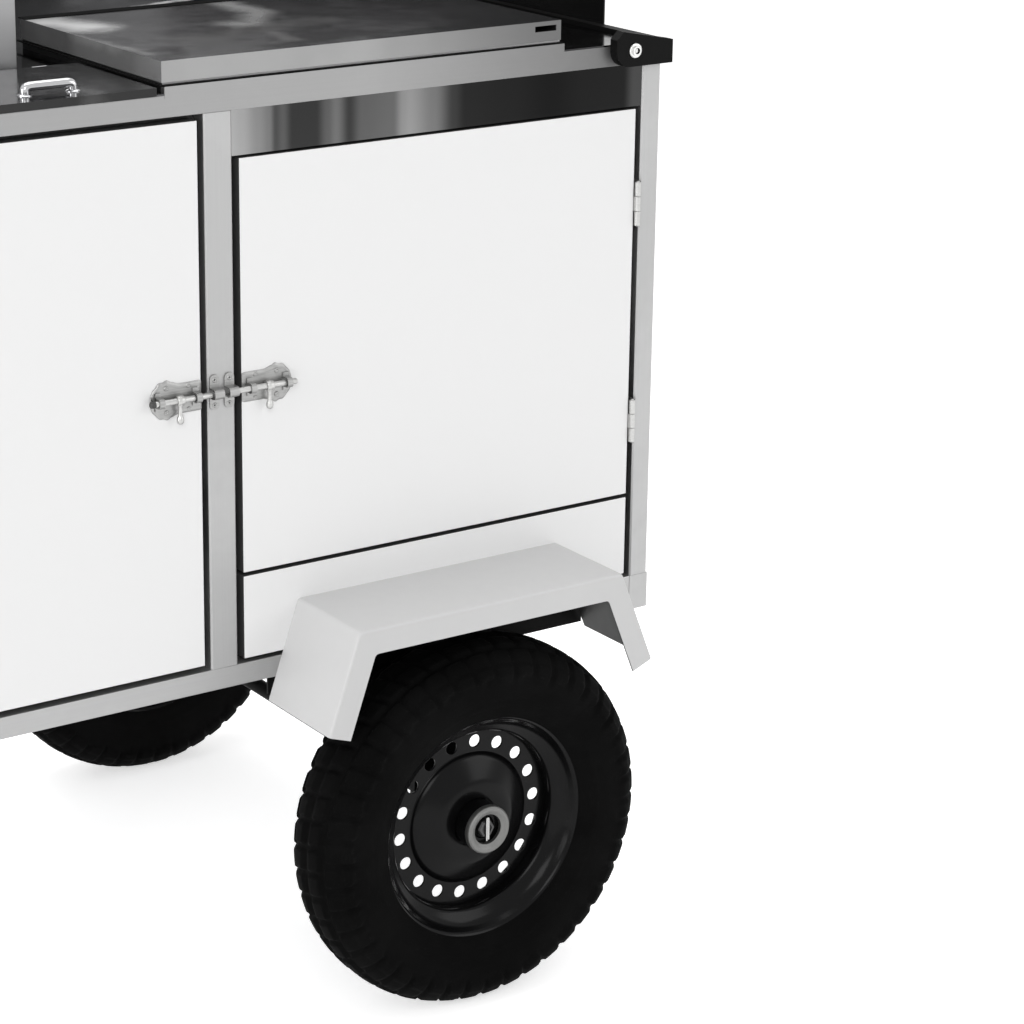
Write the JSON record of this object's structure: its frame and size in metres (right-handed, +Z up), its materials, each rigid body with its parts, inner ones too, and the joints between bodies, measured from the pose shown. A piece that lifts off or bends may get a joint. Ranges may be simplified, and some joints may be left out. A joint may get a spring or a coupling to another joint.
{
  "type": "hot dog vending cart",
  "caption": "Two-wheeled hot dog vending cart: aluminium-framed cabinet with hinged white doors, barrel bolts, hot box and ice well under lids in a steel worktop, and a push handle.",
  "frame": {"origin": "on the floor, at the centre of the overall length and depth", "axes": "+X along the serving front towards the wheel end, +Y from the serving front to the back, +Z up"},
  "size_m": [1.2584, 0.85, 1.2425],
  "materials": {
    "aluminium_frame": "brushed extruded profile",
    "white_panel": "smooth white enamel",
    "mirror_sheet": "mirror-polished stainless sheet",
    "satin_sheet": "brushed stainless sheet",
    "black_guard": "satin black paint",
    "black_rim": "glossy black enamel",
    "black_chassis": "satin black paint",
    "seal": "matt black rubber",
    "grip": "matt black moulded rubber",
    "foot": "matt black moulded rubber",
    "tread": "matt black tyre rubber",
    "mudguard": "pale grey enamel",
    "zinc": "zinc-plated pressed steel",
    "pull_chrome": "polished chrome",
    "panel_liner": "mill-finish sheet"
  },
  "bodies": {
    "cabinet": {"bottom_frame": "aluminium_frame", "post_front_left": "aluminium_frame", "post_front_middle": "aluminium_frame", "post_front_right": "aluminium_frame", "post_rear_left": "aluminium_frame", "post_rear_right": "aluminium_frame", "edge_profile": "aluminium_frame", "worktop": "mirror_sheet", "side_panel_left": "white_panel", "side_panel_right": "white_panel", "rear_panel": "white_panel", "floor_panel": "panel_liner", "divider_panel": "panel_liner", "fascia_front": "mirror_sheet", "lower_panel_front": "white_panel", "seal_left": "seal", "seal_right": "seal", "bolt_keeper_left": "zinc", "bolt_keeper_right": "zinc", "hot_well": "satin_sheet", "hot_pan_left": "satin_sheet", "hot_pan_right": "satin_sheet", "burner": "satin_sheet", "ice_well": "satin_sheet", "condiment_box": "satin_sheet", "guard_rear": "mirror_sheet", "guard_wing": "black_guard", "guard_rail": "black_guard", "mudguard_front": "mudguard", "mudguard_rear": "mudguard", "axle": "black_chassis", "axle_nut_front": "zinc", "axle_nut_rear": "zinc", "leg_front": "aluminium_frame", "leg_rear": "aluminium_frame", "foot_front": "foot", "foot_rear": "foot", "push_handle": "aluminium_frame", "handle_grip": "grip"},
    "left_door": {"door_left": "white_panel", "hinge_leaf_left_lower": "zinc", "hinge_leaf_left_upper": "zinc", "bolt_plate_left": "zinc"},
    "left_bolt": {"bolt_rod_left": "zinc"},
    "left_knob": {"bolt_knob_left": "zinc"},
    "right_door": {"door_right": "white_panel", "hinge_leaf_right_lower": "zinc", "hinge_leaf_right_upper": "zinc", "bolt_plate_right": "zinc"},
    "right_bolt": {"bolt_rod_right": "zinc"},
    "right_knob": {"bolt_knob_right": "zinc"},
    "lid": {"hot_lid": "mirror_sheet"},
    "hatch": {"ice_hatch": "mirror_sheet", "hatch_pull": "pull_chrome"},
    "front_wheel": {"tyre_front": "tread", "rim_front": "black_rim", "hub_front": "zinc"},
    "rear_wheel": {"tyre_rear": "tread", "rim_rear": "black_rim", "hub_rear": "zinc"}
  },
  "joints": [
    {"name": "right_door_hinge", "type": "hinge", "parent": "cabinet", "child": "right_door", "pos_m": [0.5952, -0.307, 0.72], "axis": [0, 0, 1], "range_deg": [0, 170]},
    {"name": "left_door_hinge", "type": "hinge", "parent": "cabinet", "child": "left_door", "pos_m": [-0.4353, -0.307, 0.72], "axis": [0, 0, -1], "range_deg": [0, 170]},
    {"name": "right_bolt_slide", "type": "slide", "parent": "right_door", "child": "right_bolt", "axis": [-1, 0, 0], "range_m": [-0.008, 0.012]},
    {"name": "left_bolt_slide", "type": "slide", "parent": "left_door", "child": "left_bolt", "axis": [1, 0, 0], "range_m": [-0.008, 0.012]},
    {"name": "right_knob_turn", "type": "hinge", "parent": "right_bolt", "child": "right_knob", "pos_m": [0.1313, -0.3129, 0.7018], "axis": [-1, 0, 0], "range_deg": [0, 180]},
    {"name": "left_knob_turn", "type": "hinge", "parent": "left_bolt", "child": "left_knob", "pos_m": [0.0288, -0.3129, 0.7018], "axis": [-1, 0, 0], "range_deg": [0, 180]},
    {"name": "hot_lid_hinge", "type": "hinge", "parent": "cabinet", "child": "lid", "pos_m": [0.2585, 0.011, 1.0186], "axis": [-1, 0, 0], "range_deg": [0, 100]},
    {"name": "ice_hatch_hinge", "type": "hinge", "parent": "cabinet", "child": "hatch", "pos_m": [-0.08, -0.1355, 1.0117], "axis": [-1, 0, 0], "range_deg": [0, 85]},
    {"name": "front_wheel_spin", "type": "hinge", "parent": "cabinet", "child": "front_wheel", "pos_m": [0.337, -0.3715, 0.204], "axis": [0, 1, 0], "continuous": true},
    {"name": "rear_wheel_spin", "type": "hinge", "parent": "cabinet", "child": "rear_wheel", "pos_m": [0.337, 0.3715, 0.204], "axis": [0, 1, 0], "continuous": true}
  ]
}
